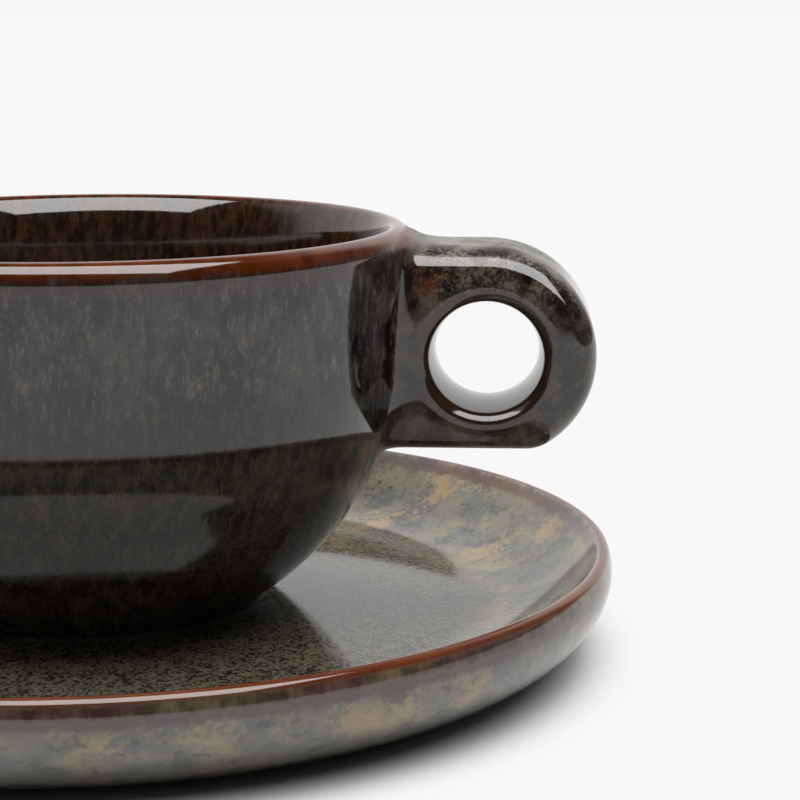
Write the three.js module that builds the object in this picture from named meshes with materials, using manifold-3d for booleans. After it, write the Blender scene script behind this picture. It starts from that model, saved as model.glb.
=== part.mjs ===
// Cappuccino cup on its saucer, in glazed stoneware. Millimetres, +Z up.
// The origin lies on the cup's axis, on the surface that the saucer stands on. The handle points along +X.
import * as THREE from 'three';
import { mergeVertices } from 'three/addons/utils/BufferGeometryUtils.js';
import Module from 'manifold-3d';

// Saucer: a round coupe plate whose well falls a little from the cup's flat seat to the full curved wall,
// standing on the ring round its base
const saucerRadius = 80;
const saucerHeight = 16.2;
const saucerLipRound = 1.9;
const saucerFloorHeight = 8.2;
const saucerSeatRadius = 29;
const saucerWellFall = 1.7;
const saucerWellRadius = 57.5;
const saucerWallSlope = 52;
const saucerBaseRadius = 61;
const saucerFootWidth = 7;
const saucerFootEdge = 1.2;
const saucerRecess = 1.4;

// Cup body: a wall that narrows a little from the lip down, over a round belly on a foot ring
const cupRadius = 49.2;
const cupHeight = 56.4;
const cupWall = 5.2;
const cupLipRound = 2.6;
const cupLipWidth = 2.4;
const cupLipInside = 4.2;
const cupFlare = 2.5;
const cupShoulderHeight = 37.85;
const cupBellyFootRadius = 28.4;
const cupFloorThickness = 5;
const cupFloorFillet = 12;
const cupFootHeight = 1.5;
const cupFootWidth = 3.4;
const cupFootEdge = 0.7;
const cupFootTaper = 1.6;

// Handle: a thick ring drilled through, round over all its edges, whose root flares onto the wall
const handleHoleRadius = 7.95;
const handleHoleDraft = 0.5;
const handleRimWidth = 8.25;
const handleHoleOffset = 11.6;
const handleTopDrop = 2.3;
const handleBottomTrim = 1.9;
const handleCornerRound = 6.5;
const handleThickness = 22;
const handleEdgeWidth = 4;
const handleEdgeDepth = 4.4;
const handleHoleFillet = 2.4;
const handleRootFlare = 5;
const handleRootFlareTop = 1.6;
const handleRootFlareBottom = 1.6;

// Clearances: the cup on its seat, and the handle's joint on the wall
const seatClearance = 0.05;
const jointClearance = 0.3;

// Facets round each turned shape
const saucerSegments = 72;
const cupSegments = 64;
const holeSegments = 32;

const wasm = await Module();
wasm.setup();

// Places that follow from the driving sizes
const cupFootZ = saucerFloorHeight + seatClearance;
const cupLipZ = cupFootZ + cupHeight;
const cupShoulderZ = cupFootZ + cupShoulderHeight;
const handleRound = handleHoleRadius + handleRimWidth;
const handleTopZ = cupLipZ - handleTopDrop;
const handleHoleX = cupRadius + handleHoleOffset;
const handleHoleZ = handleTopZ - handleRound;
const handleBottomZ = handleTopZ - 2 * handleRound + handleBottomTrim;

// Points of an elliptical arc in a profile, whose x is the radius and y the height; angles in degrees
function arc(centreR, centreZ, radiusR, radiusZ, from, to, steps) {
  const points = [];
  for (let i = 0; i <= steps; i += 1) {
    const angle = THREE.MathUtils.degToRad(from + ((to - from) * i) / steps);
    points.push(new THREE.Vector2(centreR + radiusR * Math.cos(angle), centreZ + radiusZ * Math.sin(angle)));
  }
  return points;
}

// The same geometry as one closed mesh: shared corners merged, collapsed triangles dropped
function closed(geometry) {
  const bare = geometry.clone();
  bare.deleteAttribute('normal');
  bare.deleteAttribute('uv');
  const merged = mergeVertices(bare, 1e-4);
  const index = merged.getIndex().array;
  const kept = [];
  for (let i = 0; i < index.length; i += 3) {
    const [a, b, c] = [index[i], index[i + 1], index[i + 2]];
    if (a !== b && b !== c && c !== a) kept.push(a, b, c);
  }
  merged.setIndex(kept);
  return merged;
}

// A profile turned about the Z axis
function turned(profile, segments) {
  return closed(new THREE.LatheGeometry(profile, segments).rotateX(Math.PI / 2));
}

// A geometry as a solid that can be joined and cut
function solid(geometry) {
  const mesh = closed(geometry);
  return new wasm.Manifold(new wasm.Mesh({
    numProp: 3,
    vertProperties: new Float32Array(mesh.getAttribute('position').array),
    triVerts: new Uint32Array(mesh.getIndex().array),
  }));
}

// A solid back as a geometry
function geometryOf(body) {
  const mesh = body.getMesh();
  const geometry = new THREE.BufferGeometry();
  geometry.setAttribute('position', new THREE.BufferAttribute(new Float32Array(mesh.vertProperties), 3));
  geometry.setIndex([...mesh.triVerts]);
  geometry.computeVertexNormals();
  return geometry;
}

// Rings of points, each with the same count, skinned in order and capped at both ends; each ring turns
// anticlockwise as the next one sees it
function skinned(rings) {
  const count = rings[0].length;
  const positions = rings.flat().flatMap((p) => [p.x, p.y, p.z]);
  const index = [];
  for (let ring = 0; ring + 1 < rings.length; ring += 1) {
    for (let i = 0; i < count; i += 1) {
      const [a, b] = [ring * count + i, ring * count + ((i + 1) % count)];
      index.push(a, b, b + count, a, b + count, a + count);
    }
  }
  const last = (rings.length - 1) * count;
  for (let i = 1; i + 1 < count; i += 1) {
    index.push(0, i + 1, i, last, last + i, last + i + 1);
  }
  const geometry = new THREE.BufferGeometry();
  geometry.setAttribute('position', new THREE.Float32BufferAttribute(positions, 3));
  geometry.setIndex(index);
  return geometry;
}

// Saucer's profile, from the underside at the axis, round the lip, to the well at the axis
function saucerProfile() {
  const footInside = saucerBaseRadius - saucerFootWidth;
  const lipR = saucerRadius - saucerLipRound;
  const lipZ = saucerHeight - saucerLipRound;
  const lip = arc(lipR, lipZ, saucerLipRound, saucerLipRound, 0, 90 + saucerWallSlope, 6);
  const wallTop = lip.at(-1);
  const wallFootZ = saucerFloorHeight - saucerWellFall;
  const wallRun = (wallTop.y - wallFootZ) / Math.tan(THREE.MathUtils.degToRad(saucerWallSlope));
  const wall = new THREE.QuadraticBezierCurve(
    wallTop,
    new THREE.Vector2(wallTop.x - wallRun, wallFootZ),
    new THREE.Vector2(saucerWellRadius, wallFootZ),
  );
  return [
    new THREE.Vector2(0, saucerRecess),
    new THREE.Vector2(footInside - saucerFootEdge, saucerRecess),
    new THREE.Vector2(footInside, 0),
    ...arc(saucerBaseRadius, lipZ, saucerRadius - saucerBaseRadius, lipZ, -90, 0, 9),
    ...lip.slice(1),
    ...wall.getPoints(8).slice(1),
    new THREE.Vector2(saucerSeatRadius, saucerFloorHeight),
    new THREE.Vector2(0, saucerFloorHeight),
  ];
}

// Belly's round, which leaves the narrowing wall smoothly at the shoulder and ends at the foot: its radius,
// its centre, the angle where it ends, and the shoulder's radius
function cupBelly() {
  const flare = THREE.MathUtils.degToRad(cupFlare);
  const wallTopR = cupRadius - cupLipRound * (1 - Math.cos(flare));
  const wallTopZ = cupLipZ - cupLipRound * (1 + Math.sin(flare));
  const shoulderR = wallTopR - (wallTopZ - cupShoulderZ) * Math.tan(flare);
  const run = shoulderR - cupBellyFootRadius;
  const drop = cupShoulderHeight - cupFootHeight;
  const round = (run ** 2 + drop ** 2) / (2 * (run * Math.cos(flare) - drop * Math.sin(flare)));
  const centreR = shoulderR - round * Math.cos(flare);
  const centreZ = cupShoulderZ + round * Math.sin(flare);
  const footAngle = Math.atan2(cupFootZ + cupFootHeight - centreZ, cupBellyFootRadius - centreR);
  return { round, centreR, centreZ, footAngle: THREE.MathUtils.radToDeg(footAngle), shoulderR };
}

// Outside radius of the cup's belly, wall and lip at a height
function cupWallRadius(z) {
  const belly = cupBelly();
  const above = z - cupShoulderZ;
  if (above < 0) return belly.centreR + Math.sqrt(belly.round ** 2 - (z - belly.centreZ) ** 2);
  const overLip = Math.max(0, z - cupLipZ + cupLipRound);
  const lipTuck = cupLipRound - Math.sqrt(cupLipRound ** 2 - overLip ** 2);
  return belly.shoulderR + above * Math.tan(THREE.MathUtils.degToRad(cupFlare)) - lipTuck;
}

// Cup's outside from the foot's bearing face to the lip's top, moved outwards by a clearance
function cupOutside(clearance) {
  const belly = cupBelly();
  const bellyRound = belly.round + clearance;
  const lipRound = cupLipRound + clearance;
  const footR = cupBellyFootRadius - cupFootTaper + clearance;
  return [
    new THREE.Vector2(footR - cupFootEdge, cupFootZ),
    new THREE.Vector2(footR, cupFootZ + cupFootEdge),
    ...arc(belly.centreR, belly.centreZ, bellyRound, bellyRound, belly.footAngle, -cupFlare, 10),
    ...arc(cupRadius - cupLipRound, cupLipZ - cupLipRound, lipRound, lipRound, -cupFlare, 90, 4),
  ];
}

// Cup's profile, from the underside at the axis, up the outside, over the lip and down to the inner floor
function cupProfile() {
  const belly = cupBelly();
  const innerRound = belly.round - cupWall;
  const recessZ = cupFootZ + cupFootHeight;
  const floorZ = recessZ + cupFloorThickness;
  const filletReach = innerRound - cupFloorFillet;
  const filletAngle = Math.asin((floorZ + cupFloorFillet - belly.centreZ) / filletReach);
  const filletR = belly.centreR + filletReach * Math.cos(filletAngle);
  const filletFrom = THREE.MathUtils.radToDeg(filletAngle);
  const footInside = cupBellyFootRadius - cupFootTaper - cupFootEdge - cupFootWidth;
  return [
    new THREE.Vector2(0, recessZ),
    new THREE.Vector2(footInside - cupFootEdge, recessZ),
    new THREE.Vector2(footInside, cupFootZ),
    ...cupOutside(0),
    ...arc(cupRadius - cupLipRound, cupLipZ - cupLipInside, cupLipWidth, cupLipInside, 90, 180, 5).slice(1),
    ...arc(belly.centreR, belly.centreZ, innerRound, innerRound, -cupFlare, filletFrom, 6),
    ...arc(filletR, floorZ + cupFloorFillet, cupFloorFillet, cupFloorFillet, filletFrom, -90, 4).slice(1),
    new THREE.Vector2(0, floorZ),
  ];
}

// Handle's outline seen from the side, filled: x runs out from the cup's axis, y is the height
function handleOutline() {
  const inside = cupRadius - cupWall - handleEdgeWidth;
  const cornerZ = handleBottomZ + handleCornerRound;
  const cornerReach = handleRound - handleCornerRound;
  const cornerAngle = Math.asin((cornerZ - handleHoleZ) / cornerReach);
  const cornerX = handleHoleX + cornerReach * Math.cos(cornerAngle);
  const cornerEnd = THREE.MathUtils.radToDeg(cornerAngle);
  return new THREE.Shape([
    new THREE.Vector2(inside, handleTopZ),
    new THREE.Vector2(inside, handleBottomZ),
    ...arc(cornerX, cornerZ, handleCornerRound, handleCornerRound, -90, cornerEnd, 4),
    ...arc(handleHoleX, handleHoleZ, handleRound, handleRound, cornerEnd, 90, 18).slice(1),
  ]);
}

// Outline rounded over its edges across the handle's thickness
function handlePlate() {
  const plate = new THREE.ExtrudeGeometry(handleOutline(), {
    depth: handleThickness - 2 * handleEdgeDepth,
    bevelThickness: handleEdgeDepth,
    bevelSize: handleEdgeWidth,
    bevelOffset: -handleEdgeWidth,
    bevelSegments: 5,
  });
  plate.translate(0, 0, handleEdgeDepth - handleThickness / 2);
  return plate.rotateX(Math.PI / 2);
}

// Finger hole: a bore that widens from the middle to both ends, which are rounded onto the faces
function handleHole() {
  const half = handleThickness / 2;
  const bend = half - handleHoleFillet;
  const faceRadius = handleHoleRadius + handleHoleDraft + handleHoleFillet;
  const outside = half + handleHoleFillet;
  const hole = new THREE.LatheGeometry([
    new THREE.Vector2(0, -outside),
    new THREE.Vector2(faceRadius, -outside),
    ...arc(faceRadius, -bend, handleHoleFillet, handleHoleFillet, 270, 180, 4),
    new THREE.Vector2(handleHoleRadius, 0),
    ...arc(faceRadius, bend, handleHoleFillet, handleHoleFillet, 180, 90, 4),
    new THREE.Vector2(faceRadius, outside),
    new THREE.Vector2(0, outside),
  ], holeSegments);
  return hole.translate(handleHoleX, 0, handleHoleZ);
}

// One ring of the root: the handle's section at a distance from the wall, grown by a share of the flare
function rootRing(distance, share) {
  const halfY = handleThickness / 2 + share * handleRootFlare;
  const topZ = handleTopZ + share * handleRootFlareTop;
  const bottomZ = handleBottomZ - share * handleRootFlareBottom;
  const edgeY = handleEdgeDepth + share * handleRootFlare;
  const cornerSteps = 6;
  const corners = [[1, topZ, -1, 90], [-1, topZ, -1, 180], [-1, bottomZ, 1, 270], [1, bottomZ, 1, 0]];
  return corners.flatMap(([sideY, z, inZ, end]) => {
    const centreY = sideY * (halfY - edgeY);
    return arc(centreY, z + inZ * handleEdgeWidth, edgeY, handleEdgeWidth, end - 90, end, cornerSteps)
      .map((p) => new THREE.Vector3(Math.sqrt((cupWallRadius(p.y) + distance) ** 2 - p.x ** 2), p.x, p.y));
  });
}

// Root's flare: from inside the cup's wall the section shrinks in a hollow curve to just within the plate's
function handleRoot() {
  const endShare = -0.05;
  const steps = 6;
  const rings = [rootRing(-cupWall / 2, 1)];
  for (let i = 0; i < steps; i += 1) {
    const angle = (Math.PI / 2) * (i / steps);
    rings.push(rootRing(handleRootFlare * (1 - Math.cos(angle)), 1 - Math.sin(angle)));
  }
  rings.push(rootRing(handleRootFlare, endShare));
  return skinned(rings);
}

// Handle as made: plate and root joined, the hole cut, the end shaped to the cup's wall
function handle() {
  const wall = cupOutside(jointClearance);
  const wallProfile = [new THREE.Vector2(0, cupFootZ), ...wall, new THREE.Vector2(0, wall.at(-1).y)];
  return geometryOf(
    solid(handlePlate()).add(solid(handleRoot()))
      .subtract(solid(handleHole()))
      .subtract(solid(turned(wallProfile, cupSegments))),
  );
}

function piece(name, geometry, color, roughness) {
  const mesh = new THREE.Mesh(geometry, new THREE.MeshStandardMaterial({ color, roughness, metalness: 0 }));
  mesh.name = name;
  return mesh;
}

const group = new THREE.Group();
group.add(piece('saucer', turned(saucerProfile(), saucerSegments), 0x6a675c, 0.2));
group.add(piece('cup_body', turned(cupProfile(), cupSegments), 0x2c2420, 0.12));
group.add(piece('handle', handle(), 0x3a3129, 0.15));

export default group;
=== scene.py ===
"""Cappuccino cup on its saucer, in stoneware: a dark reactive glaze on the cup, a sage one on the saucer.

Sizes are in millimetres and become metres as each mesh is made. The frame is the solids' own: +Z up from the
surface that the saucer stands on, with the cup's axis at the origin and the handle along +X.
"""
import math

import bpy
import numpy as np
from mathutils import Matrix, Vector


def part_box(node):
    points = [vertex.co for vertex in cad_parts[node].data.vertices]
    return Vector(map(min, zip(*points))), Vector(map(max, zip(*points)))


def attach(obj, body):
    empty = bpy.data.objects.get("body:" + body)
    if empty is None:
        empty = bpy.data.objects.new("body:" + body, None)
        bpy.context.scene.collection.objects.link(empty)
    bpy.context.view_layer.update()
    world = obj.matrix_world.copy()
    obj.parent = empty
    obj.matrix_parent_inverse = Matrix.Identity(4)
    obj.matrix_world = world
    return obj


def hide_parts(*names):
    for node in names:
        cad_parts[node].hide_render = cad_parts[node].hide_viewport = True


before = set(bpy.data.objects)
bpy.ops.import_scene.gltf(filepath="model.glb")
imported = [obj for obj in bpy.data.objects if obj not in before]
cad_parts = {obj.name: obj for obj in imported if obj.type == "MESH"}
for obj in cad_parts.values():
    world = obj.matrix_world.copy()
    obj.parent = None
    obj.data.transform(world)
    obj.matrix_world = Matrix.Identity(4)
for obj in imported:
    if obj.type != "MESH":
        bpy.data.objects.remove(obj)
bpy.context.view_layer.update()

MM = 0.001

# How far a curve's handles reach for a quarter of an ellipse
ARC_PULL = 0.5523

# Sizes that the solids already hold
saucer_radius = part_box("saucer")[1].x / MM
saucer_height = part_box("saucer")[1].z / MM
cup_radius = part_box("cup_body")[1].x / MM
cup_foot_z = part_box("cup_body")[0].z / MM
cup_lip_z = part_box("cup_body")[1].z / MM

# Saucer
saucer_lip_round = 1.1
saucer_lip_side = 8
saucer_floor_z = 8.2
saucer_seat_radius = 29
saucer_seat_turn = 3
saucer_well_fall = 1.7
saucer_well_radius = 57.5
saucer_wall_slope = 52
saucer_base_radius = 61
saucer_foot_width = 7
saucer_foot_edge = 1.2
saucer_recess = 1.4

# Cup body
cup_wall = 5.2
cup_lip_round = 1.9
cup_lip_side = 5
cup_lip_width = 2.6
cup_lip_inside = 4.2
cup_inside_lean = math.radians(9)
cup_flare = math.radians(2.5)
cup_shoulder_z = cup_foot_z + 37.85
cup_belly_foot_radius = 28.4
cup_floor_thickness = 5
cup_floor_fillet = 12
cup_foot_height = 1.5
cup_foot_width = 3.4
cup_foot_edge = 0.7
cup_foot_taper = 1.6

# Handle
hole_x = cup_radius + 11.6
hole_z = cup_lip_z - 18.5
hole_radius = 7.75
hole_draft = 0.95
hole_fillet = 1.4
dish_radius = 10.6
dish_slope = 0.25
dish_edge = 0.4
ring_radius = 16.2
handle_bottom_z = cup_lip_z - 32.8
handle_corner = 6.5
handle_thickness = 22
handle_crown = 54
handle_crown_rise = 2.2
handle_edge_width = 2.8
handle_edge_depth = 4.2

# How deep the handle's root goes into the cup's wall, and how far it stays under the cup's own surface
root_depth = 2.2
root_sink = 0.012

# The root's hollow curve: its reach, which is less at the handle's bottom and almost none on the lip
root_blend = 8
root_blend_bottom = 3.5
root_blend_from_z = handle_bottom_z - 2
root_blend_to_z = handle_bottom_z + 9
root_lip_share = 0.02
root_lip_inside = 0.4
root_lip_outside = 1

# Where each lip's small round over its crown gives way to the large round down its side
lip_turn = math.radians(20)

# Glaze runs straight down the walls outside this radius, and lies without a grain on the floors within it
flow_radius = 26

# Glazes
glaze_relief = 0.012
cup_glaze_ior = 1.66
saucer_glaze_ior = 1.63

# Meshes: segments round the axis, and how the handle's surface is found in its field and evened out
ring_segments = 288
field_pitch = 0.4
field_margin = 1
field_below = 5
field_into_cup = 16
slope_step = 0.01
even_rounds = 4
even_share = 0.5
draw_rounds = 3
least_slope = 0.05
longest_move = 0.3

# Floor: lit near the object and plain white further off, and darker in glaze towards its front edge
floor_front = -900
floor_back = 6000
floor_side = 6000
floor_albedo = 0.8
floor_shadow_radius = 70
floor_plain_radius = 86
floor_white_from = -360
floor_white = 248

# Room
room_white = 0.93

# Cup's outside: the lip's two rounds, a wall that narrows evenly down to the shoulder, and the belly's round
lip_side_r = cup_radius - cup_lip_side
lip_centre_r = lip_side_r + (cup_lip_side - cup_lip_round) * math.cos(lip_turn)
lip_centre_z = cup_lip_z - cup_lip_round
lip_side_z = lip_centre_z - (cup_lip_side - cup_lip_round) * math.sin(lip_turn)
wall_top_r = lip_side_r + cup_lip_side * math.cos(cup_flare)
wall_top_z = lip_side_z - cup_lip_side * math.sin(cup_flare)
shoulder_r = wall_top_r - (wall_top_z - cup_shoulder_z) * math.tan(cup_flare)
belly_run = shoulder_r - cup_belly_foot_radius
belly_drop = cup_shoulder_z - cup_foot_z - cup_foot_height
belly_tuck = belly_run * math.cos(cup_flare) - belly_drop * math.sin(cup_flare)
belly_round = (belly_run**2 + belly_drop**2) / (2 * belly_tuck)
belly_r = shoulder_r - belly_round * math.cos(cup_flare)
belly_z = cup_shoulder_z + belly_round * math.sin(cup_flare)


# Profiles and turned meshes

def arc(centre_r, centre_z, radius, start, end, steps, rise=None):
    """Points of an arc in a profile of radius and height, from one angle to another in degrees. With a rise
    of its own it is an ellipse's."""
    angle = np.radians(np.linspace(start, end, steps + 1))
    rise = radius if rise is None else rise
    return np.column_stack([centre_r + radius * np.cos(angle), centre_z + rise * np.sin(angle)])


def line(start, end, steps):
    return np.linspace(start, end, steps + 1)


def bezier(points, steps):
    """Curve drawn by three or four points."""
    t = np.linspace(0, 1, steps + 1)[:, None]
    rows = [np.array(point, float) for point in points]
    while len(rows) > 1:
        rows = [(1 - t) * a + t * b for a, b in zip(rows, rows[1:])]
    return rows[0]


def saucer_profile():
    """From the underside at the axis, up the outside, over the lip and down to the well at the axis."""
    foot_inside = saucer_base_radius - saucer_foot_width
    side_r = saucer_radius - saucer_lip_side
    lip_r = side_r + (saucer_lip_side - saucer_lip_round) * math.cos(lip_turn)
    lip_z = saucer_height - saucer_lip_round
    side_z = lip_z - (saucer_lip_side - saucer_lip_round) * math.sin(lip_turn)
    turn = math.degrees(lip_turn)
    foot_round = saucer_foot_edge / 2
    lip = arc(lip_r, lip_z, saucer_lip_round, turn, 90 + saucer_wall_slope, steps=24)
    steep = math.tan(math.radians(saucer_wall_slope))
    fall = saucer_well_fall / (saucer_well_radius - saucer_seat_radius)
    well_z = saucer_floor_z - saucer_well_fall
    bend_r = (well_z + saucer_well_radius * fall - lip[-1][1] + lip[-1][0] * steep) / (steep + fall)
    bend_z = well_z - (bend_r - saucer_well_radius) * fall
    wall = bezier([lip[-1], (bend_r, bend_z), (saucer_well_radius, well_z)], steps=48)
    seat_edge = (saucer_seat_radius + saucer_seat_turn, saucer_floor_z - saucer_seat_turn * fall)
    seat_inside = (saucer_seat_radius - saucer_seat_turn, saucer_floor_z)
    seat = bezier([seat_edge, (saucer_seat_radius, saucer_floor_z), seat_inside], steps=8)
    return np.vstack([
        line((0, saucer_recess), (foot_inside - saucer_foot_edge, saucer_recess), steps=24),
        arc(foot_inside, foot_round, foot_round, 180, 270, steps=6),
        arc(saucer_base_radius, side_z, saucer_radius - saucer_base_radius, -90, 0, steps=60, rise=side_z),
        arc(side_r, side_z, saucer_lip_side, 0, turn, steps=12)[1:],
        lip[1:],
        wall[1:],
        line(wall[-1], seat_edge, steps=24)[1:],
        seat[1:],
        line(seat_inside, (0, saucer_floor_z), steps=12)[1:],
    ])


def cup_profile():
    """From the underside at the axis, up the outside, over the lip and down to the inner floor."""
    inner_round = belly_round - cup_wall
    inner_r = belly_r + inner_round * math.cos(cup_flare)
    inner_z = belly_z - inner_round * math.sin(cup_flare)
    recess_z = cup_foot_z + cup_foot_height
    floor_z = recess_z + cup_floor_thickness
    fillet_reach = inner_round - cup_floor_fillet
    fillet_z = floor_z + cup_floor_fillet
    fillet_angle = math.asin((fillet_z - belly_z) / fillet_reach)
    fillet_r = belly_r + fillet_reach * math.cos(fillet_angle)
    fillet_from = math.degrees(fillet_angle)
    foot_r = cup_belly_foot_radius - cup_foot_taper
    foot_inside = foot_r - cup_foot_edge - cup_foot_width
    edge = cup_foot_edge / 2
    foot_turn = math.degrees(math.atan2(recess_z - belly_z, cup_belly_foot_radius - belly_r))
    flare = math.degrees(cup_flare)
    turn = math.degrees(lip_turn)
    lip_foot_z = cup_lip_z - cup_lip_inside
    lip_foot_r = lip_centre_r - cup_lip_width
    lean = math.tan(cup_inside_lean)
    lip_inside = bezier([
        (lip_centre_r, cup_lip_z),
        (lip_centre_r - ARC_PULL * cup_lip_width, cup_lip_z),
        (lip_foot_r + ARC_PULL * cup_lip_inside * lean, lip_foot_z + ARC_PULL * cup_lip_inside),
        (lip_foot_r, lip_foot_z),
    ], steps=24)
    narrowing = lean - math.tan(cup_flare)
    bend_z = (inner_r - inner_z * math.tan(cup_flare) - lip_foot_r + lip_foot_z * lean) / narrowing
    bend_r = lip_foot_r - (lip_foot_z - bend_z) * lean
    inner_wall = bezier([(lip_foot_r, lip_foot_z), (bend_r, bend_z), (inner_r, inner_z)], steps=16)
    return np.vstack([
        line((0, recess_z), (foot_inside - cup_foot_edge, recess_z), steps=12),
        arc(foot_inside, cup_foot_z + edge, edge, 180, 270, steps=5),
        arc(foot_r - cup_foot_edge, cup_foot_z + cup_foot_edge, cup_foot_edge, -90, 0, steps=6),
        arc(belly_r, belly_z, belly_round, foot_turn, -flare, steps=70),
        line((shoulder_r, cup_shoulder_z), (wall_top_r, wall_top_z), steps=16)[1:],
        arc(lip_side_r, lip_side_z, cup_lip_side, -flare, turn, steps=16)[1:],
        arc(lip_centre_r, lip_centre_z, cup_lip_round, turn, 90, steps=16)[1:],
        lip_inside[1:],
        inner_wall[1:],
        arc(belly_r, belly_z, inner_round, -flare, fillet_from, steps=48)[1:],
        arc(fillet_r, fillet_z, cup_floor_fillet, fillet_from, -90, steps=20)[1:],
        line((fillet_r, floor_z), (0, floor_z), steps=14)[1:],
    ])


def mesh_object(name, points, faces, attributes):
    """A smooth mesh in metres from points in millimetres, with named values on its points."""
    mesh = bpy.data.meshes.new(name)
    mesh.from_pydata((np.asarray(points) * MM).tolist(), [], faces)
    for key, values in attributes.items():
        vector = np.ndim(values) == 2
        layer = mesh.attributes.new(key, "FLOAT_VECTOR" if vector else "FLOAT", "POINT")
        layer.data.foreach_set("vector" if vector else "value", np.asarray(values, np.float32).ravel())
    mesh.shade_smooth()
    mesh.update()
    piece = bpy.data.objects.new(name, mesh)
    bpy.context.scene.collection.objects.link(piece)
    return piece


def flow(around, radius, run):
    """Where glaze runs: round the axis on a circle of one size, smaller only near the axis, and its distance
    from the lip's crown."""
    circle = np.minimum(cup_radius, radius * cup_radius / flow_radius)
    return np.column_stack([np.cos(around) * circle, np.sin(around) * circle, run])


def turned(name, profile):
    """A profile turned about the axis, with the run of the glaze from the lip: above zero outside."""
    lengths = np.concatenate([[0], np.cumsum(np.hypot(*np.diff(profile, axis=0).T))])
    run = lengths[np.argmax(profile[:, 1])] - lengths
    around = np.linspace(0, 2 * math.pi, ring_segments, endpoint=False)
    rings = len(profile) - 2

    def on_points(values):
        """The profile's values on the mesh: once at both ends, on the axis, and all round between them."""
        return np.concatenate([values[:1], np.repeat(values[1:-1], ring_segments), values[-1:]])

    turns = np.concatenate([[0], np.tile(around, rings), [0]])
    radii = on_points(profile[:, 0])
    points = np.column_stack([radii * np.cos(turns), radii * np.sin(turns), on_points(profile[:, 1])])
    last = len(points) - 1
    faces = []
    for i in range(ring_segments):
        after = (i + 1) % ring_segments
        faces.append((0, 1 + after, 1 + i))
        for ring in range(rings - 1):
            low = 1 + ring * ring_segments
            high = low + ring_segments
            faces.append((low + i, low + after, high + after, high + i))
        low = 1 + (rings - 1) * ring_segments
        faces.append((low + i, low + after, last))
    return mesh_object(name, points, faces, {"flow": flow(turns, radii, on_points(run))})


# Handle, as a field that is zero on its surface and below zero inside

def smooth_step(value, low, high):
    t = np.clip((value - low) / (high - low), 0, 1)
    return t * t * (3 - 2 * t)


def round_max(a, b, radius):
    """Both fields at once, with the edge where they meet rounded off."""
    corner = np.hypot(np.maximum(a + radius, 0), np.maximum(b + radius, 0))
    return np.minimum(np.maximum(a, b), -radius) + corner


def smooth_union(a, b, reach):
    """Either field, with the hollow where they meet filled in a soft curve."""
    near = np.maximum(reach - np.abs(a - b), 0) / reach
    return np.minimum(a, b) - near**3 * reach / 6


def cup_gap(p):
    """Distance outwards from the cup's wall, belly and lip."""
    rho = np.hypot(p[:, 0], p[:, 1])
    z = p[:, 2]
    slope = math.tan(cup_flare)
    wall = (rho - shoulder_r) * math.cos(cup_flare) - (z - cup_shoulder_z) * math.sin(cup_flare)
    belly = np.hypot(rho - belly_r, z - belly_z) - belly_round
    side = np.hypot(rho - lip_side_r, z - lip_side_z) - cup_lip_side
    crown = np.hypot(np.maximum(rho - lip_centre_r, 0), z - lip_centre_z) - cup_lip_round
    gap = np.where(z - belly_z < -slope * (rho - belly_r), belly, wall)
    gap = np.where(z - lip_side_z > -slope * (rho - lip_side_r), side, gap)
    return np.where(z - lip_centre_z > math.tan(lip_turn) * (rho - lip_centre_r), crown, gap)


def wall_depth(p):
    """How far a point lies inside the cup's outer radius at its height."""
    z = np.minimum(p[:, 2], wall_top_z)
    wall = shoulder_r + (z - cup_shoulder_z) * math.tan(cup_flare)
    belly = belly_r + np.sqrt(np.maximum(belly_round**2 - (z - belly_z) ** 2, 0))
    return np.where(z < cup_shoulder_z, belly, wall) - np.hypot(p[:, 0], p[:, 1])


def outline_gap(p):
    """Distance out of the handle's outline, seen from the side: straight above and below near the cup, a
    ring at the end, and a rounder corner where the straight bottom meets the ring."""
    x = p[:, 0] - hole_x
    z = p[:, 2] - hole_z
    inner = ring_radius - handle_corner
    corner_z = handle_bottom_z + handle_corner - hole_z
    corner_x = math.sqrt(inner**2 - corner_z**2)
    ring = np.hypot(np.maximum(x, 0), z) - inner
    gap = np.maximum(ring, corner_z - z)
    near_corner = (x > corner_x) & (corner_x * z - corner_z * x < 0)
    return np.where(near_corner, np.hypot(x - corner_x, z - corner_z), gap) - handle_corner


def plate_gap(p):
    """Distance out of the handle's plate: crowned, rounded over all its edges, dished round the hole."""
    inside_dish = dish_radius - np.hypot(p[:, 0] - hole_x, p[:, 2] - hole_z)
    dish = dish_slope * (inside_dish + np.hypot(inside_dish, dish_edge)) / 2
    from_crown = p[:, 2] - hole_z - handle_crown_rise
    half = handle_thickness / 2 - from_crown**2 / (2 * handle_crown) - dish
    across = np.maximum(outline_gap(p) + handle_edge_width, 0) / handle_edge_width
    through = np.maximum(np.abs(p[:, 1]) - half + handle_edge_depth, 0) / handle_edge_depth
    return (np.hypot(across, through) - 1) * handle_edge_depth


def root_reach(p):
    """How far the root's hollow curve reaches: less at the handle's bottom, and almost none on the lip."""
    z = p[:, 2]
    above_bottom = smooth_step(z, root_blend_from_z, root_blend_to_z)
    reach = root_blend_bottom + (root_blend - root_blend_bottom) * above_bottom
    off_lip = np.hypot(p[:, 0], p[:, 1]) + np.maximum(lip_centre_z - z, 0)
    share = smooth_step(off_lip, lip_centre_r - root_lip_inside, cup_radius + root_lip_outside)
    return reach * np.maximum(share, root_lip_share)


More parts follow.
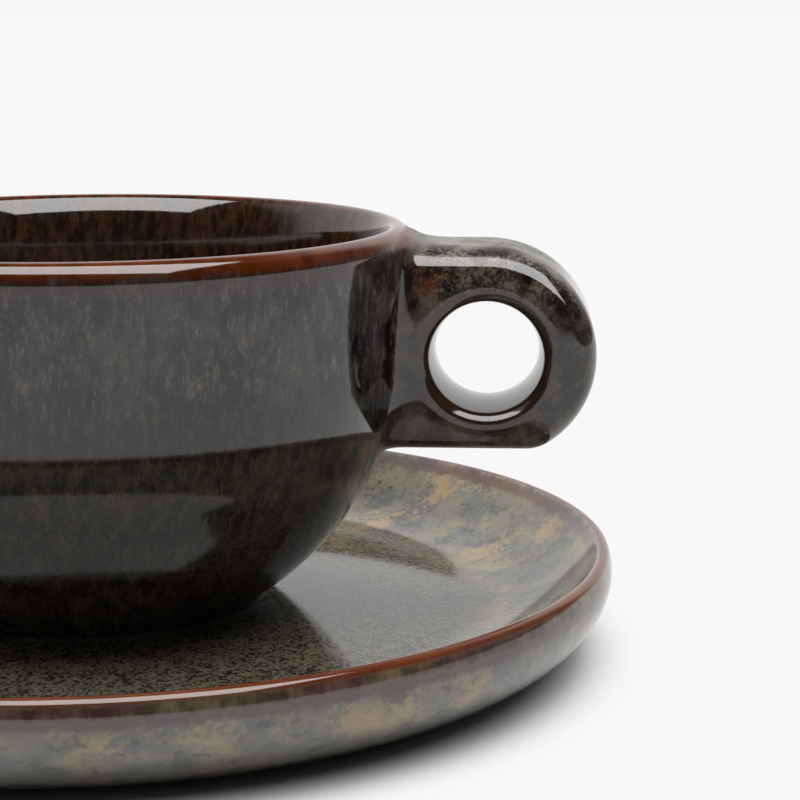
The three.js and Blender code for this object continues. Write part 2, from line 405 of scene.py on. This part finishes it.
def handle_field(p):
    """Plate and root with the hole, a little under the cup's own surface, cut off inside the cup's wall."""
    wall = cup_gap(p)
    plate = plate_gap(p)
    reach = root_reach(p)
    half = handle_thickness / 2
    from_axis = np.hypot(p[:, 0] - hole_x, p[:, 2] - hole_z)
    bore = hole_radius + hole_draft * (p[:, 1] / half) ** 2 - from_axis
    shown = round_max(smooth_union(plate, wall, reach), bore, hole_fillet) + root_sink
    return np.maximum(np.maximum(shown, wall_depth(p) - root_depth), plate - reach)


def field_slope(field, p):
    offsets = np.eye(3) * slope_step
    changes = [field(p + offset) - field(p - offset) for offset in offsets]
    return np.column_stack(changes) / (2 * slope_step)


def surface_of(field, low, high):
    """Points and quads on the zero surface of a field: one point in each cell that it crosses, then drawn
    onto the surface."""
    axes = [np.arange(a, b + field_pitch, field_pitch) for a, b in zip(low, high)]
    shape = tuple(len(axis) for axis in axes)
    grid = np.stack(np.meshgrid(*axes, indexing="ij"), axis=-1)
    value = field(grid.reshape(-1, 3)).reshape(shape)
    inside = value < 0
    cells = tuple(n - 1 for n in shape)
    total = np.zeros(cells + (3,))
    count = np.zeros(cells)
    crossings = []
    for axis in range(3):
        first = [slice(None)] * 3
        second = [slice(None)] * 3
        first[axis] = slice(0, -1)
        second[axis] = slice(1, None)
        a = value[tuple(first)]
        b = value[tuple(second)]
        crossed = (a < 0) != (b < 0)
        index = np.argwhere(crossed)
        share = a[crossed] / (a[crossed] - b[crossed])
        at = np.array(low) + index * field_pitch
        at[:, axis] += share * field_pitch
        others = [k for k in range(3) if k != axis]
        ring = []
        for step in ((-1, -1), (0, -1), (0, 0), (-1, 0)):
            cell = index.copy()
            cell[:, others[0]] += step[0]
            cell[:, others[1]] += step[1]
            np.add.at(total, tuple(cell.T), at)
            np.add.at(count, tuple(cell.T), 1)
            ring.append(cell)
        crossings.append((axis, ring, inside[tuple(first)][crossed]))
    used = count > 0
    number = np.full(cells, -1)
    number[used] = np.arange(used.sum())
    points = total[used] / count[used][:, None]
    quads = []
    for axis, ring, leaving in crossings:
        corners = np.stack([number[tuple(cell.T)] for cell in ring], axis=1)
        outward = leaving if axis != 1 else ~leaving
        corners[~outward] = corners[~outward][:, ::-1]
        quads.append(corners)
    quads = np.vstack(quads)
    return draw_onto(field, points, quads), quads


def draw_onto(field, points, quads):
    """Evens the points out along the surface and puts them back onto it."""
    edges = np.vstack([quads[:, [i, (i + 1) % 4]] for i in range(4)])
    for _ in range(even_rounds):
        total = np.zeros_like(points)
        count = np.zeros(len(points))
        np.add.at(total, edges[:, 0], points[edges[:, 1]])
        np.add.at(count, edges[:, 0], 1)
        points = points + even_share * (total / count[:, None] - points)
        for _ in range(draw_rounds):
            slope = field_slope(field, points)
            size = np.maximum((slope**2).sum(1), least_slope)
            points = points - np.clip(field(points) / size, -longest_move, longest_move)[:, None] * slope
    return points


def cup_run(z):
    """Distance of a point of the cup's outside from the lip's crown, along the outside."""
    over_lip = cup_lip_round * (math.pi / 2 - lip_turn) + cup_lip_side * (lip_turn + cup_flare)
    straight = (wall_top_z - np.maximum(z, cup_shoulder_z)) / math.cos(cup_flare)
    depth = belly_z - np.minimum(z, cup_shoulder_z)
    turned_by = np.arcsin(np.clip(depth / belly_round, 0, 1)) - cup_flare
    return over_lip + straight + belly_round * turned_by


def handle_piece(name):
    """The handle's mesh, with what its glaze follows: the cup's flow, and distances from wall and hole."""
    side = handle_thickness / 2 + root_blend + field_margin
    low = (cup_radius - root_depth - field_into_cup, -side, handle_bottom_z - field_below)
    high = (hole_x + ring_radius + field_margin, side, cup_lip_z + field_margin)
    points, quads = surface_of(handle_field, low, high)
    around = np.arctan2(points[:, 1], points[:, 0])
    from_axis = np.hypot(points[:, 0] - hole_x, points[:, 2] - hole_z)
    return mesh_object(name, points, quads.tolist(), {
        "flow": flow(around, np.hypot(points[:, 0], points[:, 1]), cup_run(points[:, 2])),
        "off_wall": cup_gap(points),
        "off_hole": from_axis - hole_radius,
    })


# Node trees

def srgb(red, green, blue):
    """A colour as seen on a screen, 0 to 255, in the linear values that nodes take."""
    def linear(value):
        share = value / 255
        return share / 12.92 if share <= 0.04045 else ((share + 0.055) / 1.055) ** 2.4
    return (linear(red), linear(green), linear(blue), 1)


def grey(level):
    return (level, level, level, 1)


# Places of a mix node's colour sockets
COLOUR_A = 6
COLOUR_B = 7
COLOUR_OUT = 2


class Nodes:
    """A node tree. Each call adds one node and returns its output, so that a look reads as a formula."""

    def __init__(self, owner):
        owner.use_nodes = True
        self.tree = owner.node_tree

    def add(self, kind, inputs, **settings):
        node = self.tree.nodes.new(kind)
        for key, value in settings.items():
            setattr(node, key, value)
        for key, value in inputs.items():
            self.put(node.inputs[key], value)
        return node

    def put(self, socket, value):
        if isinstance(value, bpy.types.NodeSocket):
            self.tree.links.new(value, socket)
        else:
            socket.default_value = value

    def where(self, kind):
        """Where a point is, in metres, or which way a point of the room lies."""
        return self.add("ShaderNodeTexCoord", {}).outputs[kind]

    def ray(self, kind):
        """One for rays of that kind, and zero for all others."""
        return self.add("ShaderNodeLightPath", {}).outputs[kind]

    def part(self, vector, axis):
        return self.add("ShaderNodeSeparateXYZ", {0: vector}).outputs[axis]

    def math(self, operation, a, b):
        return self.add("ShaderNodeMath", {0: a, 1: b}, operation=operation).outputs[0]

    def times(self, first, *others):
        for other in others:
            first = self.math("MULTIPLY", first, other)
        return first

    def step(self, value, low, high, least=0.0, most=1.0):
        """Smooth change from least to most as the value goes from low to high."""
        inputs = {"Value": value, "From Min": low, "From Max": high, "To Min": least, "To Max": most}
        return self.add("ShaderNodeMapRange", inputs, interpolation_type="SMOOTHSTEP").outputs["Result"]


class Glaze(Nodes):
    """A glaze's nodes: patterns on the surface, and the colours that they mix."""

    def __init__(self, name, ior):
        self.material = bpy.data.materials.new(name)
        super().__init__(self.material)
        self.shader = self.tree.nodes["Principled BSDF"]
        self.shader.inputs["IOR"].default_value = ior

    def value(self, name):
        return self.add("ShaderNodeAttribute", {}, attribute_name=name).outputs["Fac"]

    def vector(self, name):
        return self.add("ShaderNodeAttribute", {}, attribute_name=name).outputs["Vector"]

    def place(self):
        """Where a point is in the frame, in millimetres."""
        inputs = {0: self.where("Object"), "Scale": 1 / MM}
        return self.add("ShaderNodeVectorMath", inputs, operation="SCALE").outputs["Vector"]

    def facing_up(self):
        """How far the surface faces up: 1 on a level top, 0 on a wall."""
        return self.part(self.add("ShaderNodeNewGeometry", {}).outputs["Normal"], "Z")

    def stretch(self, flow_vector, share):
        """Flow with its run shortened to a share, which draws patterns out along the run."""
        inputs = {0: flow_vector, 1: (1, 1, share)}
        return self.add("ShaderNodeVectorMath", inputs, operation="MULTIPLY").outputs["Vector"]

    def noise(self, vector, size, detail=2, rough=0.5):
        """Cloudy pattern whose features are about that size in millimetres; from 0 to 1 about 0.5."""
        inputs = {"Vector": vector, "Scale": 1 / size, "Detail": detail, "Roughness": rough}
        return self.add("ShaderNodeTexNoise", inputs).outputs["Fac"]

    def blend(self, main, other, share):
        """One pattern shifted by another about its middle, by a share of it."""
        return self.math("ADD", main, self.times(self.math("SUBTRACT", other, 0.5), share))

    def band(self, value, low, high, soft):
        """One between low and high, fading over the soft width at both ends."""
        rise = self.step(value, low - soft / 2, low + soft / 2)
        fall = self.step(value, high - soft / 2, high + soft / 2, 1.0, 0.0)
        return self.times(rise, fall)

    def mix(self, share, a, b):
        node = self.add("ShaderNodeMix", {"Factor": share}, data_type="RGBA")
        self.put(node.inputs[COLOUR_A], a)
        self.put(node.inputs[COLOUR_B], b)
        return node.outputs[COLOUR_OUT]

    def finish(self, colour, roughness, height):
        """Colour and roughness, and the surface's fine relief, whose height goes from 0 to 1."""
        self.put(self.shader.inputs["Base Color"], colour)
        self.put(self.shader.inputs["Roughness"], roughness)
        inputs = {"Height": height, "Distance": glaze_relief * MM, "Strength": 1.0}
        bump = self.add("ShaderNodeBump", inputs)
        self.put(self.shader.inputs["Normal"], bump.outputs["Normal"])
        return self.material


# Glazes

def cup_colour(glaze):
    """Dark brown under cloudy grey, with fine tan streaks, a belly darkened with painted shade where it
    faces the saucer, a warmer inside, and plum and amber where the glaze thins at the lip."""
    dark_brown = srgb(16, 11, 10)
    cloudy_grey = srgb(64, 60, 60)
    streak_tan = srgb(112, 102, 82)
    belly_shade_black = srgb(7, 5, 3)
    belly_shade_olive = srgb(52, 45, 31)
    inner_dark = srgb(40, 26, 18)
    inner_brown = srgb(76, 52, 34)
    inner_tan = srgb(112, 84, 50)
    amber_dark = srgb(80, 32, 7)
    amber_light = srgb(116, 53, 15)
    plum = srgb(70, 46, 46)

    way = glaze.vector("flow")
    run = glaze.part(way, "Z")
    streaks = glaze.noise(glaze.stretch(way, 0.3), 0.3, detail=3, rough=0.6)
    clouds = glaze.noise(glaze.stretch(way, 0.45), 8, detail=4, rough=0.55)
    grain = glaze.noise(glaze.stretch(way, 0.4), 1.3, detail=3, rough=0.6)
    drips = glaze.noise(glaze.stretch(way, 0.12), 2.6, detail=3)

    outside = glaze.mix(glaze.step(glaze.blend(clouds, grain, 0.6), 0.36, 0.64), dark_brown, cloudy_grey)
    outside = glaze.mix(glaze.step(glaze.blend(streaks, grain, 0.9), 0.5, 0.84), outside, streak_tan)
    # Painted shade: the belly, turned down towards the saucer, takes a far darker mix of the glaze's grain
    # and streaks, nearly black
    belly = glaze.mix(glaze.step(glaze.blend(grain, streaks, 0.7), 0.38, 0.66), belly_shade_black, belly_shade_olive)
    outside = glaze.mix(glaze.step(run, 16.0, 26.0, 0.0, 0.85), outside, belly)
    inside = glaze.mix(glaze.step(grain, 0.38, 0.62), inner_dark, inner_brown)
    inside = glaze.mix(glaze.step(glaze.blend(streaks, grain, 0.4), 0.54, 0.8), inside, inner_tan)
    colour = glaze.mix(glaze.step(run, -2.0, 0.0), inside, outside)
    ragged = glaze.blend(run, glaze.blend(drips, clouds, 1.0), 2.4)
    colour = glaze.mix(glaze.times(glaze.band(ragged, 3.0, 5.6, 2.4), 0.5), colour, plum)
    amber = glaze.mix(glaze.step(drips, 0.25, 0.75), amber_dark, amber_light)
    return glaze.mix(glaze.band(ragged, -1.0, 3.2, 1.6), colour, amber)


def cup_glaze():
    glaze = Glaze("cup_glaze", cup_glaze_ior)
    place = glaze.place()
    ripple = glaze.noise(glaze.stretch(glaze.vector("flow"), 0.4), 0.5)
    relief = glaze.blend(glaze.noise(place, 3.5, rough=0.45), ripple, 0.12)
    roughness = glaze.step(glaze.noise(place, 0.8), 0.3, 0.7, 0.05, 0.09)
    return glaze.finish(cup_colour(glaze), roughness, relief)


def handle_glaze():
    """Brown with pale and black mottling, amber by the root, dark round the hole, satin on top; at the wall
    it is the cup's own glaze."""
    ground_dark = srgb(40, 31, 28)
    ground_light = srgb(72, 64, 54)
    pale_grey = srgb(124, 116, 100)
    black = srgb(20, 16, 14)
    amber = srgb(112, 52, 16)
    rim_dark = srgb(44, 28, 20)
    rim_light = srgb(78, 56, 42)

    glaze = Glaze("handle_glaze", cup_glaze_ior)
    place = glaze.place()
    run = glaze.part(glaze.vector("flow"), "Z")
    off_wall = glaze.value("off_wall")
    off_hole = glaze.value("off_hole")
    upward = glaze.facing_up()
    specks = glaze.noise(place, 0.5, detail=3, rough=0.65)
    clouds = glaze.noise(place, 5, detail=4, rough=0.6)
    blots = glaze.noise(place, 3.4, detail=3, rough=0.6)

    colour = glaze.mix(glaze.step(clouds, 0.38, 0.62), ground_dark, ground_light)
    pale = glaze.step(glaze.blend(specks, clouds, 1.5), 0.4, 0.7)
    pale = glaze.times(pale, glaze.step(run, 9.0, 15.0, 1.0, 0.25))
    pale = glaze.times(pale, glaze.step(off_wall, 0.5, 6.0, 0.15, 1.0))
    colour = glaze.mix(pale, colour, pale_grey)
    colour = glaze.mix(glaze.times(glaze.step(blots, 0.53, 0.65), 0.75), colour, black)
    warm = glaze.times(glaze.band(off_wall, 2.5, 6.0, 3.0), glaze.step(clouds, 0.4, 0.56))
    warm = glaze.times(warm, glaze.step(run, 7.0, 12.0, 0.9, 0.0), glaze.step(upward, 0.3, 0.7, 1.0, 0.0))
    colour = glaze.mix(warm, colour, amber)
    rim = glaze.step(glaze.blend(off_hole, blots, 2.0), 1.4, 3.4, 1.0, 0.0)
    colour = glaze.mix(rim, colour, glaze.mix(specks, rim_dark, rim_light))
    colour = glaze.mix(glaze.step(off_wall, 0.0, 1.8), cup_colour(glaze), colour)
    top = glaze.times(glaze.step(upward, 0.55, 0.95), glaze.step(off_hole, 3.0, 6.0))
    satin = glaze.times(top, glaze.step(specks, 0.3, 0.6, 0.17, 0.34))
    roughness = glaze.math("ADD", satin, glaze.step(specks, 0.3, 0.7, 0.05, 0.1))
    return glaze.finish(colour, roughness, glaze.noise(place, 3.0, rough=0.45))


def saucer_glaze():
    """Sage grey, speckled and pitted in the well, with blue-grey, tan and dark patches on the wall, and
    plum, olive and brown below a rust lip. Outside, a painted reflection of the white floor lightens the
    wall, and painted shade darkens it low down where it curves under."""
    well_dark = srgb(36, 36, 31)
    well_light = srgb(122, 114, 95)
    blue_grey = srgb(98, 103, 104)
    sage = srgb(136, 130, 110)
    tan = srgb(176, 148, 108)
    slate = srgb(62, 66, 65)
    floor_reflection_white = srgb(190, 182, 176)
    painted_shade_grey = srgb(60, 60, 53)
    plum = srgb(108, 88, 86)
    red_brown = srgb(104, 58, 48)
    olive_dark = srgb(84, 74, 56)
    olive_light = srgb(136, 122, 92)
    brown_dark = srgb(76, 50, 47)
    brown_light = srgb(108, 82, 76)
    rust_dark = srgb(88, 40, 20)
    rust_light = srgb(136, 70, 34)
    underside_grey = srgb(52, 50, 44)
    pit_grey = srgb(40, 38, 33)

    glaze = Glaze("saucer_glaze", saucer_glaze_ior)
    place = glaze.place()
    way = glaze.vector("flow")
    run = glaze.part(way, "Z")
    specks = glaze.noise(place, 0.58, rough=0.6)
    grain = glaze.noise(place, 1.6, detail=3, rough=0.6)
    fine = glaze.noise(glaze.stretch(way, 0.7), 0.7, detail=3, rough=0.7)
    clouds = glaze.blend(glaze.noise(glaze.stretch(way, 0.8), 4.5, detail=3, rough=0.55), fine, 0.9)
    warmth = glaze.blend(glaze.noise(glaze.stretch(way, 0.8), 6, detail=3, rough=0.55), fine, 0.6)
    shade = glaze.blend(glaze.noise(glaze.stretch(way, 0.9), 3.2, detail=3, rough=0.6), fine, 0.8)
    drips = glaze.noise(glaze.stretch(way, 0.3), 1.4, detail=3, rough=0.6)
    age = glaze.noise(way, 22)

    well = glaze.mix(glaze.step(glaze.blend(specks, grain, 0.5), 0.38, 0.58), well_dark, well_light)
    wall = glaze.mix(glaze.step(clouds, 0.3, 0.66), blue_grey, sage)
    wall = glaze.mix(glaze.times(glaze.step(warmth, 0.46, 0.68), 0.95), wall, tan)
    wall = glaze.mix(glaze.times(glaze.step(shade, 0.52, 0.72), 0.8), wall, slate)
    # Painted reflection: the outside of the wall is lightened towards a pale lilac white, standing in for
    # the white floor mirrored in its glaze
    wall = glaze.mix(glaze.step(run, 2.0, 5.0, 0.0, 0.14), wall, floor_reflection_white)
    colour = glaze.mix(glaze.step(run, -26.0, -17.0), well, wall)
    # Painted shade: the lower part of the outside, where the wall curves under towards the table, is
    # darkened grey
    low = glaze.step(glaze.blend(run, shade, 5.0), 6.5, 13.5)
    colour = glaze.mix(glaze.times(low, 0.75), colour, painted_shade_grey)

    ragged = glaze.blend(run, drips, 1.8)
    inner = glaze.mix(glaze.step(age, 0.4, 0.56), plum, red_brown)
    colour = glaze.mix(glaze.times(glaze.band(ragged, -2.8, -1.0, 1.0), 0.75), colour, inner)
    colour = glaze.mix(glaze.times(glaze.band(ragged, 1.6, 4.5, 1.2), 0.8), colour, plum)
    olive = glaze.mix(glaze.step(drips, 0.36, 0.66), olive_dark, olive_light)
    brown = glaze.mix(glaze.step(drips, 0.36, 0.66), brown_dark, brown_light)
    edging = glaze.mix(glaze.step(age, 0.42, 0.58), olive, brown)
    colour = glaze.mix(glaze.band(ragged, 1.4, 3.0, 0.8), colour, edging)
    rust = glaze.mix(glaze.noise(way, 4, detail=3), rust_dark, rust_light)
    colour = glaze.mix(glaze.band(glaze.blend(run, drips, 0.5), -0.4, 1.5, 0.6), colour, rust)
    colour = glaze.mix(glaze.step(run, 20.0, 25.0), colour, underside_grey)

    pits = glaze.step(glaze.noise(place, 0.8, detail=1), 0.67, 0.75)
    pits = glaze.times(pits, glaze.step(run, -18.0, -10.0, 1.0, 0.1))
    colour = glaze.mix(glaze.times(pits, 0.6), colour, pit_grey)
    relief = glaze.blend(glaze.noise(place, 2.4, detail=3), pits, -0.35)
    roughness = glaze.step(specks, 0.3, 0.7, 0.06, 0.12)
    return glaze.finish(colour, roughness, relief)


# Stage

def floor_material():
    """White floor: it takes the object's shadow nearby and is plain white further off. Mirrored in glaze, it
    darkens towards its front edge."""
    material = bpy.data.materials.new("white_floor")
    white = srgb(floor_white, floor_white, floor_white)
    nodes = Nodes(material)
    nodes.tree.nodes.clear()
    at = nodes.where("Object")
    from_axis = nodes.add("ShaderNodeVectorMath", {0: at}, operation="LENGTH").outputs["Value"]
    far_off = nodes.step(from_axis, floor_shadow_radius * MM, floor_plain_radius * MM)
    to_camera = nodes.ray("Is Camera Ray")
    mirrored = nodes.math("MAXIMUM", nodes.ray("Is Glossy Ray"), nodes.ray("Is Transmission Ray"))
    share = nodes.times(far_off, nodes.math("MAXIMUM", to_camera, mirrored))
    dim = nodes.step(nodes.part(at, "Y"), floor_front * MM, floor_white_from * MM)
    strength = nodes.math("MAXIMUM", dim, to_camera)
    lit = nodes.add("ShaderNodeBsdfDiffuse", {"Color": grey(floor_albedo)})
    plain = nodes.add("ShaderNodeEmission", {"Color": white, "Strength": strength})
    mix = nodes.add("ShaderNodeMixShader", {"Fac": share, 1: lit.outputs[0], 2: plain.outputs[0]})
    nodes.add("ShaderNodeOutputMaterial", {"Surface": mix.outputs[0]})
    return material


def make_floor():
    """Table top from its front edge, beyond the camera, to far behind the object."""
    left = -floor_side * MM
    right = floor_side * MM
    front = floor_front * MM
    back = floor_back * MM
    corners = [(left, front, 0), (right, front, 0), (right, back, 0), (left, back, 0)]
    mesh = bpy.data.meshes.new("floor")
    mesh.from_pydata(corners, [], [(0, 1, 2, 3)])
    mesh.materials.append(floor_material())
    floor = bpy.data.objects.new("floor", mesh)
    bpy.context.scene.collection.objects.link(floor)


def make_world():
    """Room: white behind and to the left up to a good height, dark above, to the right and in front."""
    world = bpy.data.worlds.new("room")
    bpy.context.scene.world = world
    nodes = Nodes(world)
    way = nodes.where("Generated")
    behind = nodes.step(nodes.part(way, "Y"), -0.3, 0.2, 0.03, 1.0)
    low = nodes.step(nodes.part(way, "Z"), 0.6, 0.85, 1.0, 0.06)
    left = nodes.step(nodes.part(way, "X"), 0.45, 0.8, 1.0, 0.1)
    strength = nodes.math("MAXIMUM", nodes.times(behind, low, left), nodes.ray("Is Camera Ray"))
    background = nodes.tree.nodes["Background"]
    nodes.put(background.inputs["Color"], grey(room_white))
    nodes.put(background.inputs["Strength"], strength)


def make_softbox(name, centre, pitch, width, depth, watts):
    """Flat lamp above the object, pitched by degrees so that it faces away from the camera's side."""
    lamp = bpy.data.lights.new(name, "AREA")
    lamp.shape = "RECTANGLE"
    lamp.size = width * MM
    lamp.size_y = depth * MM
    lamp.energy = watts
    softbox = bpy.data.objects.new(name, lamp)
    softbox.location = [value * MM for value in centre]
    softbox.rotation_euler = (math.radians(pitch), 0, 0)
    bpy.context.scene.collection.objects.link(softbox)
    return softbox


def make_camera(place, turn, pitch, lens):
    """Camera at the photograph's place, turned left of +Y and pitched down by degrees."""
    data = bpy.data.cameras.new("camera")
    data.lens = lens
    data.sensor_width = 36
    data.clip_start = 0.01
    camera = bpy.data.objects.new("camera", data)
    camera.location = [value * MM for value in place]
    camera.rotation_euler = (math.radians(90 - pitch), 0, math.radians(turn))
    bpy.context.scene.collection.objects.link(camera)
    bpy.context.scene.camera = camera


def dress(piece, material, node, body):
    piece.data.materials.append(material)
    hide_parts(node)
    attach(piece, body)


dress(turned("glazed_saucer", saucer_profile()), saucer_glaze(), "saucer", "saucer")
dress(turned("glazed_cup", cup_profile()), cup_glaze(), "cup_body", "cup")
dress(handle_piece("glazed_handle"), handle_glaze(), "handle", "cup")

make_floor()
make_world()
overhead = make_softbox("overhead", centre=(60, 20, 700), pitch=0, width=720, depth=640, watts=6)
overhead.visible_glossy = False
sheen = make_softbox("sheen", centre=(30, -350, 650), pitch=30, width=1100, depth=810, watts=17)
sheen.visible_diffuse = False
make_camera(place=(64.34, -331.0, 100.45), turn=2.88, pitch=10.65, lens=100.34)
bpy.context.scene.view_settings.view_transform = "Standard"
